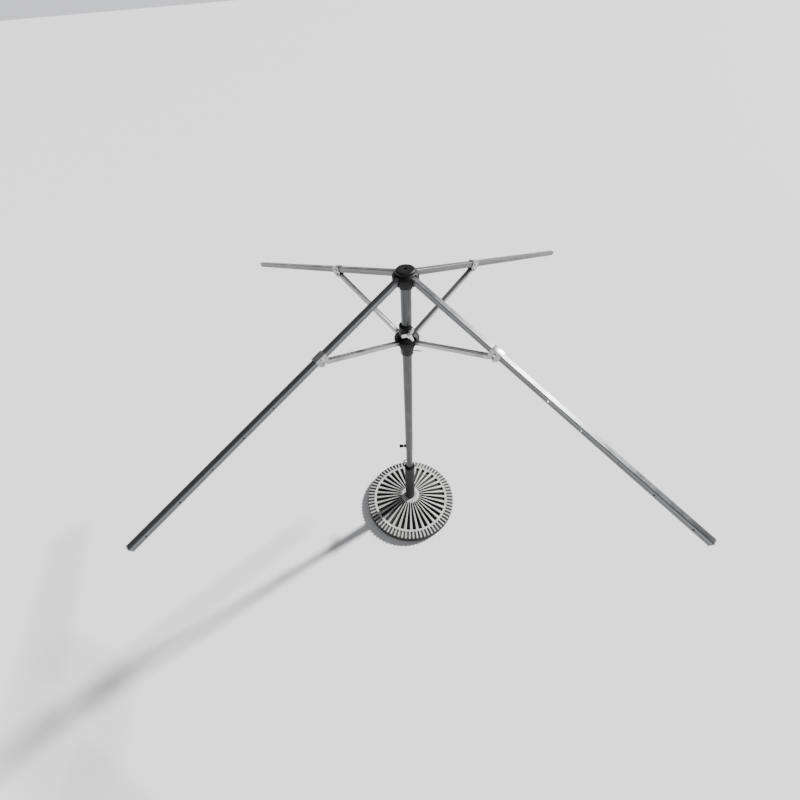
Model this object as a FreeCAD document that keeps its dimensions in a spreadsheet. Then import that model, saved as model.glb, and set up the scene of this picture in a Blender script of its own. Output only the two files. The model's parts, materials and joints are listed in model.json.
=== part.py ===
import FreeCAD, Part
import math
import os

import Sketcher
from FreeCAD import Placement, Rotation, Vector

# A rotary clothesline on a weighted ribbed stand. The origin is on the floor, on the mast's axis.
# +Z is up, and the four arms point along +X, +Y, -X and -Y. Lengths are millimetres, angles degrees.

SIZES = [
    # The folding linkage. Arms and struts share one pivot radius, so each pair folds as an isosceles.
    ("hub_height", 1450, "floor to the arm pivots"),
    ("pivot_offset", 17.5, "mast's surface to the arm pivots and to the strut pivots"),
    ("arm_length", 999, "arm pivot to the tube's outer end"),
    ("arm_droop", 17.5, "how far the open arms point below level"),
    ("crank_along", 327, "arm pivot to the strut bolt, measured along the arm"),
    ("crank_drop", 17, "arm centreline down to the strut bolt"),
    # Mast.
    ("mast_radius", 17.5, "upper mast tube, outside"),
    ("mast_wall", 1.5, "wall of both mast tubes"),
    ("mast_bottom", 552, "floor to the upper tube's lower end"),
    ("lower_mast_top", 1060, "floor to the lower tube's upper end"),
    ("slide_gap", 0.1, "radial gap of the telescoping and turning fits"),
    ("running_gap", 0.08, "radial gap of the pivots"),
    ("seat_gap", 0.04, "radial gap of the fixed fits"),
    ("plug_length", 24, "length of the mast's plugs"),
    ("cut_margin", 1, "how far a cut runs past the face it opens"),
    # Square arm tubes.
    ("arm_width", 18, "arm tube, outside"),
    ("arm_wall", 1.2, "arm tube wall"),
    ("arm_corner", 2.4, "arm tube's outer corner radius"),
    ("arm_inner_end", 7, "tube end beyond the pivot, towards the mast"),
    ("arm_groove_width", 3, "groove along each side of an arm tube"),
    ("arm_groove_depth", 0.5, "groove along each side of an arm tube"),
    ("cap_plate", 3, "arm end cap's outer plate"),
    ("cap_plug", 18, "arm end cap's plug inside the tube"),
    ("line_hole_radius", 2.5, "holes for the clothes line"),
    ("line_hole_spacing", 110, "step from one line hole to the next"),
    ("line_hole_inset", 45, "tube end to the outermost line hole"),
    ("line_hole_count", 5, "line holes in each arm"),
    # Struts and their saddles.
    ("strut_width", 15, "strut channel, across"),
    ("strut_height", 12, "strut channel, deep"),
    ("strut_wall", 1.5, "strut channel wall"),
    ("strut_bead_width", 4, "rolled bead along the strut's back"),
    ("strut_bead_depth", 0.5, "rolled bead along the strut's back"),
    ("strut_round", 5.9, "rounding of the strut's ends"),
    ("saddle_wall", 2, "saddle sheet"),
    ("saddle_length", 36, "saddle along the arm"),
    ("saddle_lug", 7, "saddle edge beyond the strut bolt"),
    ("saddle_skirt", 3, "saddle cheek below the arm's underside before it tapers"),
    ("side_gap", 0.5, "gap at each side of an arm or a strut in its fork"),
    ("pin_radius", 2.6, "arm pivot pins and strut bolts"),
    ("pin_length", 34, "arm pivot pins"),
    ("strut_pin_radius", 2.5, "pins that hold the struts in the collar"),
    ("strut_pin_length", 28, "length of those pins"),
    ("rivet_radius", 2.4, "saddle rivets"),
    ("head_radius", 5, "rivet heads and bolt heads"),
    ("head_height", 3.5, "rivet heads and bolt heads"),
    # Top hub, measured from the arm pivots' level. Walls are measured from the mast's surface.
    ("hub_fork_wall", 6.5, "arm pivots out to the hub's outside"),
    ("hub_crown_wall", 13.5, "hub's top disc"),
    ("hub_crown_edge", 4, "chamfer round the top disc"),
    ("hub_lip", 1.5, "foot of the top disc's rim, above the shoulder"),
    ("hub_rise", 25, "pivots up to the top face"),
    ("hub_shoulder", 14, "pivots up to the roof over the arms"),
    ("hub_brow", 4, "chamfer round the barrel's top"),
    ("hub_belly", 8, "pivots down to where the barrel draws in"),
    ("hub_depth", 30, "pivots down to the underside"),
    ("hub_foot_wall", 7.5, "hub round the mast, at the underside"),
    ("hub_core_wall", 5.4, "hub round the mast, at the arm slots"),
    ("hub_seat", 4, "pivots up to the mast's end in the hub"),
    ("hub_recess_radius", 5, "recess for the top screw"),
    ("hub_recess_depth", 8, "recess for the top screw"),
    ("hub_screw_radius", 4, "top screw"),
    ("hub_screw_gap", 0.4, "gap round the top screw's head"),
    # Sliding collar, measured from the strut pivots' level. Walls are measured from the mast's surface.
    ("collar_fork_wall", 9, "strut pivots out to the collar's outside"),
    ("collar_rise", 14, "pivots up to the shoulder"),
    ("collar_slope", 9, "chamfer round the shoulder"),
    ("collar_neck_foot", 6, "cone between the shoulder and the neck"),
    ("collar_neck_rise", 58, "pivots up to the neck's top"),
    ("collar_neck_low_rise", 32, "pivots up to the neck's low half"),
    ("collar_neck_azimuth", 190, "middle of the neck's high half"),
    ("collar_neck_edge", 3, "chamfer round the neck's top"),
    ("collar_neck_wall", 9, "neck"),
    ("collar_fork_depth", 18, "pivots down to the forks' underside"),
    ("collar_fork_edge", 4, "chamfer under the forks"),
    ("collar_taper", 14, "cone between the forks and the sleeve"),
    ("collar_depth", 64, "pivots down to the sleeve's end"),
    ("collar_sleeve_wall", 7.5, "sleeve"),
    ("collar_sleeve_draft", 2, "how much the sleeve narrows downward"),
    ("collar_core_wall", 10, "collar at the strut slots"),
    ("clamp_height", 43, "pivots up to the clamp screw"),
    ("clamp_azimuth", 236, "direction of the clamp screw round the mast"),
    ("clamp_boss_radius", 10, "clamp screw's boss"),
    ("clamp_boss_reach", 20, "mast's surface to the boss's face"),
    ("clamp_screw_radius", 4, "clamp screw"),
    ("insert_radius", 6, "threaded insert, outside"),
    ("insert_length", 12, "threaded insert"),
    ("knob_hub_radius", 8, "star knob's middle"),
    ("knob_thickness", 11, "star knob's middle"),
    ("knob_edge", 1.5, "chamfer round the star knob's middle"),
    ("knob_arm_count", 3, "star knob's arms"),
    ("knob_arm_reach", 27, "star knob's axis to an arm's tip"),
    ("knob_arm_root", 8.5, "star knob arm's width at the middle"),
    ("knob_arm_tip", 7.2, "star knob arm's width at the tip"),
    ("knob_arm_thickness", 7, "star knob's arms"),
    ("knob_arm_round", 3.5, "rounding of the arm's tip"),
    ("knob_rest_turn", 270, "turn of the star knob about its screw when the line is open"),
    ("knob_standoff", 1.5, "gap from the boss to the knob"),
    ("catch_azimuth", 300, "direction of the catch pin"),
    ("catch_drop", 50, "strut pivots down to the catch pin"),
    ("catch_radius", 2.5, "catch pin"),
    ("catch_reach", 36, "mast's surface to the catch pin's outer end"),
    ("catch_edge", 1, "chamfer on the catch pin's end"),
    ("tip_gap", 0.3, "gap from a clamp's tip to the tube it presses"),
    # Mast clamp, and the stand's eye screw.
    ("mast_clamp_azimuth", 135, "direction of the mast clamp"),
    ("eye_azimuth", 70, "direction of the eye screw"),
    ("mast_clamp_rise", 20, "upper tube's lower end to its clamp screw"),
    ("mast_boss_radius", 8, "mast clamp's boss"),
    ("mast_boss_reach", 8, "mast's surface to that boss's face"),
    ("mast_screw_radius", 3, "mast clamp's screw"),
    ("thumb_radius", 8, "mast clamp's thumb knob"),
    ("thumb_length", 20, "mast clamp's thumb knob"),
    ("thumb_waist", 6, "thumb knob's neck"),
    ("thumb_neck", 6, "length of the thumb knob's neck"),
    ("thumb_flare", 2, "cone between the neck and the grip"),
    # Stand.
    ("socket_radius", 26, "socket tube, outside"),
    ("socket_wall", 2.5, "socket tube wall"),
    ("socket_bottom", 12, "floor to the socket tube's lower end"),
    ("socket_top", 386, "floor to the socket tube's upper end"),
    ("bush_flange", 3, "top bush's flange thickness"),
    ("bush_lip", 1, "top bush's flange beyond the socket tube"),
    ("bush_spigot", 44, "top bush inside the socket"),
    ("lower_bush_height", 40, "bottom bush"),
    ("lower_bush_floor", 8, "bottom bush's floor"),
    ("eye_drop", 24, "socket's top down to the eye screw"),
    ("eye_boss_radius", 9, "eye screw's boss"),
    ("eye_boss_reach", 10, "socket tube's surface to that boss's face"),
    ("eye_screw_radius", 4, "eye screw"),
    ("eye_ring_radius", 9, "eye's ring, to the bar's middle"),
    ("eye_bar_radius", 3, "eye's bar"),
    ("eye_neck", 6, "boss face to the eye's ring"),
    ("base_radius", 252.5, "stand base"),
    ("base_rim_height", 41, "floor to the base's rim"),
    ("base_wall", 5, "base shell's rim wall"),
    ("rim_round", 6, "base rim's rounding"),
    ("tooth_inner", 213, "inner end of the rim's short grooves"),
    ("tooth_outer", 256, "outer end of the rim's short grooves"),
    ("tooth_depth", 5, "depth of the rim's short grooves"),
    ("tooth_angle", 3, "width of a short groove"),
    ("tooth_count", 72, "short grooves round the rim"),
    ("ring_height", 46, "floor to the flat ring"),
    ("ring_inner", 203, "flat ring's inner radius"),
    ("rib_inner", 54, "inner end of the long grooves"),
    ("rib_depth", 12, "depth of the long grooves"),
    ("rib_groove_angle", 5.6, "width of a long groove"),
    ("rib_count", 36, "long grooves round the cone"),
    ("cone_top_radius", 44, "base's centre boss"),
    ("cone_top_height", 78, "floor to the centre boss"),
    ("shell_floor", 4, "shell left under the long grooves"),
    ("foot_height", 4, "rubber feet"),
    ("foot_radius", 15, "rubber feet"),
    ("foot_circle", 200, "circle of the rubber feet"),
    ("foot_turn", 45, "turn of the feet from the arms' directions"),
]

AZIMUTHS = [0, 90, 180, 270]
TOLERANCE = 0.01
ALIGNED = 1e-6

# Radii that follow from the mast's and the socket's, as sheet expressions.
PIVOT = "(Sizes.mast_radius + Sizes.pivot_offset)"
HUB = f"({PIVOT} + Sizes.hub_fork_wall)"
CROWN = "(Sizes.mast_radius + Sizes.hub_crown_wall)"
COLLAR = f"({PIVOT} + Sizes.collar_fork_wall)"
NECK = "(Sizes.mast_radius + Sizes.collar_neck_wall)"
SLEEVE = "(Sizes.mast_radius + Sizes.collar_sleeve_wall)"
CLAMP_FACE = "(Sizes.mast_radius + Sizes.clamp_boss_reach)"
MAST_BOSS_FACE = "(Sizes.mast_radius + Sizes.mast_boss_reach)"
EYE_BOSS_FACE = "(Sizes.socket_radius + Sizes.eye_boss_reach)"
LOWER_BORE = "(Sizes.mast_radius - Sizes.mast_wall)"
LOWER_MAST = "(Sizes.mast_radius - Sizes.mast_wall - Sizes.slide_gap)"
SOCKET_FIT = "(Sizes.socket_radius - Sizes.socket_wall - Sizes.seat_gap)"

doc = FreeCAD.newDocument("rotary_clothesline")
sizes = doc.addObject("Spreadsheet::Sheet", "Sizes")
for row, (alias, value, meaning) in enumerate(SIZES, start=1):
    sizes.set(f"A{row}", meaning)
    sizes.set(f"B{row}", str(value))
    sizes.setAlias(f"B{row}", alias)
doc.recompute()


# ---- Sizes and places ----

def size(expression):
    """The number that an expression on the sheet's values gives."""
    return float(sizes.evalExpression(expression))


def bind(feature, **expressions):
    """Tie a feature's sizes to the sheet."""
    for prop, expression in expressions.items():
        feature.setExpression(prop, expression)


def upright(height):
    """A place on the mast's axis."""
    return Placement(Vector(0, 0, height), Rotation())


def radial(azimuth, height, reach=0.0):
    """A place whose own Z axis points away from the mast, level."""
    angle = math.radians(azimuth)
    outward = Vector(math.cos(angle), math.sin(angle), 0)
    turn = Rotation(Vector(0, 0, 1), azimuth) * Rotation(Vector(0, 1, 0), 90)
    return Placement(outward * reach + Vector(0, 0, height), turn)


def tilted(azimuth, height, tilt):
    """A place at a pivot, whose own X axis points outward and down by the tilt."""
    angle = math.radians(azimuth)
    outward = Vector(math.cos(angle), math.sin(angle), 0)
    turn = Rotation(Vector(0, 0, 1), azimuth) * Rotation(Vector(0, 1, 0), tilt)
    return Placement(outward * size(PIVOT) + Vector(0, 0, height), turn)


CRANK = "sqrt(Sizes.crank_along * Sizes.crank_along + Sizes.crank_drop * Sizes.crank_drop)"
crank_droop = size("Sizes.arm_droop") + math.degrees(
    math.atan2(size("Sizes.crank_drop"), size("Sizes.crank_along")))
hub_height = size("Sizes.hub_height")
collar_height = hub_height - 2 * size(CRANK) * math.sin(math.radians(crank_droop))
mast_clamp_azimuth = size("Sizes.mast_clamp_azimuth")
eye_azimuth = size("Sizes.eye_azimuth")


# ---- Building blocks ----

def new_body(name):
    body = doc.addObject("PartDesign::Body", name)
    body.Label = name
    return body


def origin_item(body, role):
    return next(item for item in body.Origin.OriginFeatures if item.Role == role)


def new_sketch(body, name, role, turn=None):
    """A sketch on one of the body's own planes, turned about the body's Z axis when asked."""
    sketch = body.newObject("Sketcher::SketchObject", name)
    sketch.AttachmentSupport = (origin_item(body, role), "")
    sketch.MapMode = "FlatFace"
    if turn is not None:
        sketch.AttachmentOffset = Placement(Vector(), Rotation(Vector(0, 1, 0), turn))
    return sketch


def hold_point(sketch, geometry, point, across, up):
    """Hold a sketch point at two bound distances from the sketch's origin."""
    for kind, expression, axis in (("DistanceX", across, -2), ("DistanceY", up, -1)):
        if expression == "0":
            sketch.addConstraint(Sketcher.Constraint("PointOnObject", geometry, point, axis))
            continue
        value = size(expression)
        index = sketch.addConstraint(Sketcher.Constraint(kind, -1, 1, geometry, point, value))
        sketch.setExpression(f"Constraints[{index}]", expression)


def draw_outline(sketch, corners):
    """A closed outline with straight edges, each corner held by bound distances."""
    points = [Vector(size(across), size(up), 0) for across, up in corners]
    count = len(points)
    for index in range(count):
        edge = Part.LineSegment(points[index], points[(index + 1) % count])
        sketch.addGeometry(edge, False)
    for index in range(count):
        sketch.addConstraint(Sketcher.Constraint("Coincident", index, 2, (index + 1) % count, 1))
    for index, (across, up) in enumerate(corners):
        hold_point(sketch, index, 1, across, up)


def rectangle(near, far, low, high):
    """The corners of an upright rectangle."""
    return [(near, low), (far, low), (far, high), (near, high)]


def draw_circle(sketch, across, up, radius):
    centre = Vector(size(across), size(up), 0)
    circle = sketch.addGeometry(Part.Circle(centre, Vector(0, 0, 1), size(radius)), False)
    hold_point(sketch, circle, 3, across, up)
    index = sketch.addConstraint(Sketcher.Constraint("Radius", circle, size(radius)))
    sketch.setExpression(f"Constraints[{index}]", radius)


def turned(name, corners):
    """A body turned about its Z axis from an outline of (radius, height) corners."""
    body = new_body(name)
    sketch = new_sketch(body, name + "_profile", "XZ_Plane")
    draw_outline(sketch, corners)
    revolution = body.newObject("PartDesign::Revolution", name + "_turn")
    revolution.Profile = sketch
    revolution.ReferenceAxis = (sketch, ["V_Axis"])
    revolution.Angle = 360
    return body


def pad(body, sketch, length, both_ways=False, backwards=False):
    feature = body.newObject("PartDesign::Pad", sketch.Name + "_pad")
    feature.Profile = sketch
    feature.Midplane = both_ways
    feature.Reversed = backwards
    bind(feature, Length=length)
    return feature


def pocket(body, sketch, length=None):
    """A cut to both sides of the sketch: through everything, or as wide as the length."""
    feature = body.newObject("PartDesign::Pocket", sketch.Name + "_cut")
    feature.Profile = sketch
    feature.Midplane = True
    if length is None:
        feature.Type = "ThroughAll"
    else:
        bind(feature, Length=length)
    return feature


def groove(body, sketch, angle):
    """A cut swept about the body's Z axis, half of the angle to each side of the sketch."""
    feature = body.newObject("PartDesign::Groove", sketch.Name + "_cut")
    feature.Profile = sketch
    feature.ReferenceAxis = (sketch, ["V_Axis"])
    feature.Midplane = True
    bind(feature, Angle=angle)
    return feature


def repeat_round(body, name, features, count):
    pattern = body.newObject("PartDesign::PolarPattern", name)
    pattern.Originals = features
    pattern.Axis = (origin_item(body, "Z_Axis"), [""])
    pattern.Angle = 360
    bind(pattern, Occurrences=count)
    body.Tip = pattern
    return pattern


def side_hole(body, name, azimuth, height, radius, depth):
    """A round hole from the body's Z axis outward, as deep as given."""
    sketch = new_sketch(body, name, "YZ_Plane", turn=azimuth)
    draw_circle(sketch, "0", height, radius)
    feature = body.newObject("PartDesign::Pocket", name + "_cut")
    feature.Profile = sketch
    feature.Reversed = True
    bind(feature, Length=depth)
    return feature


def round_edges(body, name, radius, wanted):
    """Round the edges of the body's last feature that the test picks."""
    doc.recompute()
    base = body.Tip
    names = [f"Edge{number}" for number, edge in enumerate(base.Shape.Edges, start=1) if wanted(edge)]
    fillet = body.newObject("PartDesign::Fillet", name)
    fillet.Base = (base, names)
    bind(fillet, Radius=radius)
    return fillet


def runs_along(edge, axis):
    """Whether an edge is straight and parallel to an axis."""
    if len(edge.Vertexes) != 2 or not isinstance(edge.Curve, Part.Line):
        return False
    return abs(abs(edge.Curve.Direction.dot(axis)) - 1) < ALIGNED


# ---- Stand ----

def make_base_shell():
    """A shallow cone with a flat ring and a toothed rim, hollow underneath."""
    skin = "(Sizes.rib_depth + Sizes.shell_floor)"
    inner_rim = "Sizes.base_radius - Sizes.base_wall"
    corners = [
        ("Sizes.socket_radius + Sizes.seat_gap", "Sizes.cone_top_height"),
        ("Sizes.cone_top_radius", "Sizes.cone_top_height"),
        ("Sizes.ring_inner", "Sizes.ring_height"),
        ("Sizes.tooth_inner", "Sizes.ring_height"),
        ("Sizes.base_radius", "Sizes.base_rim_height"),
        ("Sizes.base_radius", "Sizes.foot_height"),
        (inner_rim, "Sizes.foot_height"),
        (inner_rim, f"Sizes.base_rim_height - {skin}"),
        ("Sizes.tooth_inner", f"Sizes.ring_height - {skin}"),
        ("Sizes.ring_inner", f"Sizes.ring_height - {skin}"),
        ("Sizes.cone_top_radius", f"Sizes.cone_top_height - {skin}"),
        ("Sizes.socket_radius + Sizes.seat_gap", f"Sizes.cone_top_height - {skin}"),
    ]
    body = turned("base_shell", corners)
    outer = size("Sizes.base_radius")
    top = size("Sizes.base_rim_height")

    def is_rim(edge):
        box = edge.BoundBox
        at_rim = abs(box.XMax - outer) < TOLERANCE and abs(box.ZMax - top) < TOLERANCE
        return at_rim and box.ZLength < TOLERANCE

    round_edges(body, "rim_fillet", "Sizes.rim_round", is_rim)
    cut_ribs(body)
    cut_teeth(body)
    return body


def cone_height(radius, below):
    """The height of the cone's surface at a radius, or a depth below it, as a sheet expression."""
    slope = "(Sizes.cone_top_height - Sizes.ring_height) / (Sizes.ring_inner - Sizes.cone_top_radius)"
    return f"Sizes.ring_height + (Sizes.ring_inner - {radius}) * {slope} - {below}"


def cut_ribs(body):
    """Long grooves that leave the raised ribs standing between them."""
    inner = "Sizes.rib_inner"
    outer = "Sizes.ring_inner"
    sketch = new_sketch(body, "rib_groove", "XZ_Plane")
    draw_outline(sketch, [
        (inner, cone_height(inner, "Sizes.rib_depth")),
        (outer, cone_height(outer, "Sizes.rib_depth")),
        (outer, cone_height(outer, "0") + " + Sizes.rib_depth"),
        (inner, cone_height(inner, "0") + " + Sizes.rib_depth"),
    ])
    cut = groove(body, sketch, "Sizes.rib_groove_angle")
    repeat_round(body, "rib_grooves", [cut], "Sizes.rib_count")


def cut_teeth(body):
    """Short grooves round the rim, over its sloping top."""
    slope = "(Sizes.ring_height - Sizes.base_rim_height) / (Sizes.base_radius - Sizes.tooth_inner)"
    inner = "Sizes.tooth_inner + Sizes.tooth_depth"
    rim_line = f"Sizes.base_rim_height + (Sizes.base_radius - Sizes.tooth_outer) * {slope}"
    sketch = new_sketch(body, "tooth_groove", "XZ_Plane")
    draw_outline(sketch, [
        (inner, "Sizes.ring_height - Sizes.tooth_depth"),
        ("Sizes.tooth_outer", f"{rim_line} - Sizes.tooth_depth"),
        ("Sizes.tooth_outer", f"{rim_line} + Sizes.tooth_depth"),
        (inner, "Sizes.ring_height + Sizes.tooth_depth"),
    ])
    cut = groove(body, sketch, "Sizes.tooth_angle")
    repeat_round(body, "tooth_grooves", [cut], "Sizes.tooth_count")


def make_base_ballast():
    """The concrete disc that fills the shell's underside and grips the socket tube."""
    skin = "(Sizes.rib_depth + Sizes.shell_floor)"
    bore = "Sizes.socket_radius + Sizes.seat_gap"
    rim = "Sizes.base_radius - Sizes.base_wall"
    return turned("base_ballast", [
        ("0", "Sizes.foot_height"),
        (rim, "Sizes.foot_height"),
        (rim, f"Sizes.base_rim_height - {skin}"),
        ("Sizes.tooth_inner", f"Sizes.ring_height - {skin}"),
        ("Sizes.ring_inner", f"Sizes.ring_height - {skin}"),
        ("Sizes.cone_top_radius", f"Sizes.cone_top_height - {skin}"),
        (bore, f"Sizes.cone_top_height - {skin}"),
        (bore, "Sizes.socket_bottom"),
        ("0", "Sizes.socket_bottom"),
    ])


def make_base_feet():
    """Four rubber pads under the base, one node."""
    feet = []
    for azimuth in AZIMUTHS:
        foot = doc.addObject("Part::Cylinder", f"foot_{azimuth}")
        bind(foot, Radius="Sizes.foot_radius", Height="Sizes.foot_height")
        angle = math.radians(azimuth + size("Sizes.foot_turn"))
        reach = size("Sizes.foot_circle")
        foot.Placement = Placement(Vector(reach * math.cos(angle), reach * math.sin(angle), 0), Rotation())
        feet.append(foot)
    group = doc.addObject("Part::Compound", "base_feet")
    group.Links = feet
    return group


def make_socket_tube():
    body = turned("socket_tube", [
        ("Sizes.socket_radius - Sizes.socket_wall", "Sizes.socket_bottom"),
        ("Sizes.socket_radius", "Sizes.socket_bottom"),
        ("Sizes.socket_radius", "Sizes.socket_top"),
        ("Sizes.socket_radius - Sizes.socket_wall", "Sizes.socket_top"),
    ])
    side_hole(body, "socket_tube_hole", eye_azimuth, "Sizes.socket_top - Sizes.eye_drop",
              "Sizes.eye_screw_radius + Sizes.running_gap", EYE_BOSS_FACE)
    return body


def make_socket_top_bush():
    """The flanged plastic bush that the mast turns in."""
    body = turned("socket_top_bush", [
        (LOWER_BORE, "Sizes.socket_top - Sizes.bush_spigot"),
        (SOCKET_FIT, "Sizes.socket_top - Sizes.bush_spigot"),
        (SOCKET_FIT, "Sizes.socket_top"),
        ("Sizes.socket_radius + Sizes.bush_lip", "Sizes.socket_top"),
        ("Sizes.socket_radius + Sizes.bush_lip", "Sizes.socket_top + Sizes.bush_flange"),
        (LOWER_BORE, "Sizes.socket_top + Sizes.bush_flange"),
    ])
    side_hole(body, "socket_top_bush_hole", eye_azimuth, "Sizes.socket_top - Sizes.eye_drop",
              "Sizes.eye_screw_radius + Sizes.running_gap", EYE_BOSS_FACE)
    return body


def make_socket_bottom_bush():
    """The cup at the socket's foot that carries the mast's weight."""
    return turned("socket_bottom_bush", [
        ("0", "Sizes.socket_bottom"),
        (SOCKET_FIT, "Sizes.socket_bottom"),
        (SOCKET_FIT, "Sizes.socket_bottom + Sizes.lower_bush_height"),
        (LOWER_BORE, "Sizes.socket_bottom + Sizes.lower_bush_height"),
        (LOWER_BORE, "Sizes.socket_bottom + Sizes.lower_bush_floor"),
        ("0", "Sizes.socket_bottom + Sizes.lower_bush_floor"),
    ])


def make_boss(name, azimuth, tube, radius, reach, screw, height):
    """A round boss that sits on the side of a tube, with a hole for its screw."""
    body = new_body(name)
    outline = new_sketch(body, name + "_outline", "YZ_Plane", turn=azimuth)
    draw_circle(outline, "0", height, radius)
    pad(body, outline, reach)
    middle = new_sketch(body, name + "_saddle", "XY_Plane")
    draw_circle(middle, "0", "0", f"{tube} + Sizes.seat_gap")
    pocket(body, middle)
    side_hole(body, name + "_hole", azimuth, height, f"{screw} + Sizes.running_gap", reach)
    return body


def make_eye_screw():
    """The eye screw that clamps the mast in the stand."""
    inner = f"({LOWER_MAST} + Sizes.tip_gap)"
    outer = f"({EYE_BOSS_FACE} + Sizes.eye_neck)"
    shank = doc.addObject("Part::Cylinder", "eye_shank")
    bind(shank, Radius="Sizes.eye_screw_radius", Height=f"{outer} - {inner}")
    shank.Placement = Placement(Vector(0, 0, size(inner)), Rotation())
    ring = doc.addObject("Part::Torus", "eye_ring")
    bind(ring, Radius1="Sizes.eye_ring_radius", Radius2="Sizes.eye_bar_radius")
    centre = size(f"{outer} + Sizes.eye_ring_radius")
    ring.Placement = Placement(Vector(0, 0, centre), Rotation(Vector(0, 1, 0), 90))
    screw = doc.addObject("Part::Fuse", "eye_screw")
    screw.Base = shank
    screw.Tool = ring
    screw.Placement = radial(eye_azimuth, size("Sizes.socket_top - Sizes.eye_drop"))
    return screw


# ---- Mast ----

MAST_FOOT = "(Sizes.socket_bottom + Sizes.lower_bush_floor + Sizes.tip_gap)"
TUBE_FOOT = f"({MAST_FOOT} + Sizes.cap_plate)"


def make_tube(name, outer, wall, bottom, top):
    return turned(name, [
        (f"{outer} - {wall}", bottom),
        (outer, bottom),
        (outer, top),
        (f"{outer} - {wall}", top),
    ])


def make_plug(name, outer, wall, face, length):
    """A plug that closes a tube: a plate as wide as the tube, and a spigot inside it.

    The plate's outer face is at the face height, and the length's sign says which way the plug goes.
    """
    spigot = f"{outer} - {wall} - Sizes.seat_gap"
    sign = "-" if length.startswith("-") else "+"
    plate = f"{face} {sign} Sizes.cap_plate"
    end = f"{face} {sign} Sizes.cap_plate {sign} {length.lstrip('-')}"
    return turned(name, [
        ("0", face), (outer, face), (outer, plate),
        (spigot, plate), (spigot, end), ("0", end),
    ])


def make_lower_mast():
    tube = make_tube("lower_mast_tube", LOWER_MAST, "Sizes.mast_wall", TUBE_FOOT, "Sizes.lower_mast_top")
    foot = make_plug("lower_mast_foot", LOWER_MAST, "Sizes.mast_wall", MAST_FOOT, "Sizes.plug_length")
    cap = make_plug("lower_mast_cap", LOWER_MAST, "Sizes.mast_wall",
                    "Sizes.lower_mast_top + Sizes.cap_plate", "-Sizes.plug_length")
    return [tube, foot, cap]


def make_upper_mast_tube():
    body = make_tube("upper_mast_tube", "Sizes.mast_radius", "Sizes.mast_wall", "Sizes.mast_bottom",
                     "Sizes.hub_height + Sizes.hub_seat")
    side_hole(body, "upper_mast_hole", mast_clamp_azimuth, "Sizes.mast_bottom + Sizes.mast_clamp_rise",
              "Sizes.mast_screw_radius + Sizes.running_gap", MAST_BOSS_FACE)
    return body


def make_mast_top_plug():
    """The plug inside the mast's top end that the hub's screw bites into."""
    return turned("mast_top_plug", [
        ("Sizes.hub_screw_radius", "Sizes.hub_height + Sizes.hub_seat - Sizes.plug_length"),
        (f"{LOWER_BORE} - Sizes.seat_gap", "Sizes.hub_height + Sizes.hub_seat - Sizes.plug_length"),
        (f"{LOWER_BORE} - Sizes.seat_gap", "Sizes.hub_height + Sizes.hub_seat"),
        ("Sizes.hub_screw_radius", "Sizes.hub_height + Sizes.hub_seat"),
    ])


def make_mast_clamp():
    """The thumb knob that locks the two mast tubes, and its screw."""
    height = size("Sizes.mast_bottom + Sizes.mast_clamp_rise")
    inner = f"({LOWER_MAST} + Sizes.tip_gap)"
    face = f"({MAST_BOSS_FACE} + Sizes.knob_standoff)"
    screw = turned("mast_clamp_screw", [
        ("0", inner),
        ("Sizes.mast_screw_radius", inner),
        ("Sizes.mast_screw_radius", f"{face} + Sizes.thumb_length / 2"),
        ("0", f"{face} + Sizes.thumb_length / 2"),
    ])
    bore = "Sizes.mast_screw_radius + Sizes.seat_gap"
    knob = turned("mast_clamp_knob", [
        (bore, face),
        ("Sizes.thumb_waist", face),
        ("Sizes.thumb_waist", f"{face} + Sizes.thumb_neck"),
        ("Sizes.thumb_radius", f"{face} + Sizes.thumb_neck + Sizes.thumb_flare"),
        ("Sizes.thumb_radius", f"{face} + Sizes.thumb_length"),
        ("0", f"{face} + Sizes.thumb_length"),
        ("0", f"{face} + Sizes.thumb_length / 2 + Sizes.seat_gap"),
        (bore, f"{face} + Sizes.thumb_length / 2 + Sizes.seat_gap"),
    ])
    for piece in (screw, knob):
        piece.Placement = radial(mast_clamp_azimuth, height)
    return [screw, knob]


# ---- Top hub ----

def make_top_hub():
    """The moulded head: a top disc over a barrel, with a fork cut for each arm."""
    foot = "(Sizes.mast_radius + Sizes.hub_foot_wall)"
    diagonal = "sqrt(1 / 2)"
    hub = turned("top_hub", [
        ("0", "Sizes.hub_rise"),
        (f"{CROWN} - Sizes.hub_crown_edge", "Sizes.hub_rise"),
        (CROWN, "Sizes.hub_rise - Sizes.hub_crown_edge"),
        (CROWN, "Sizes.hub_shoulder + Sizes.hub_lip"),
        (f"{HUB} - Sizes.hub_brow", "Sizes.hub_shoulder - Sizes.hub_brow / 2"),
        (HUB, "Sizes.hub_shoulder - Sizes.hub_brow * 2"),
        (HUB, "0 - Sizes.hub_belly"),
        (f"{foot} + ({HUB} - {foot}) * {diagonal}",
         f"0 - Sizes.hub_belly - (Sizes.hub_depth - Sizes.hub_belly) * {diagonal}"),
        (foot, "0 - Sizes.hub_depth"),
        ("0", "0 - Sizes.hub_depth"),
    ])
    cut_socket(hub)
    slot = new_sketch(hub, "hub_slot", "XZ_Plane")
    draw_outline(slot, rectangle(
        "Sizes.mast_radius + Sizes.hub_core_wall", f"{HUB} + Sizes.cut_margin",
        "0 - Sizes.hub_depth - Sizes.cut_margin", "Sizes.hub_shoulder"))
    slot_cut = pocket(hub, slot, "Sizes.arm_width + 2 * Sizes.side_gap")
    pin = new_sketch(hub, "hub_pin_hole", "XZ_Plane")
    draw_circle(pin, PIVOT, "0", "Sizes.pin_radius + Sizes.seat_gap")
    pin_cut = pocket(hub, pin, "Sizes.pin_length + 2 * Sizes.seat_gap")
    repeat_round(hub, "hub_forks", [slot_cut, pin_cut], str(len(AZIMUTHS)))
    hub.Placement = upright(hub_height)
    return hub


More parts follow.
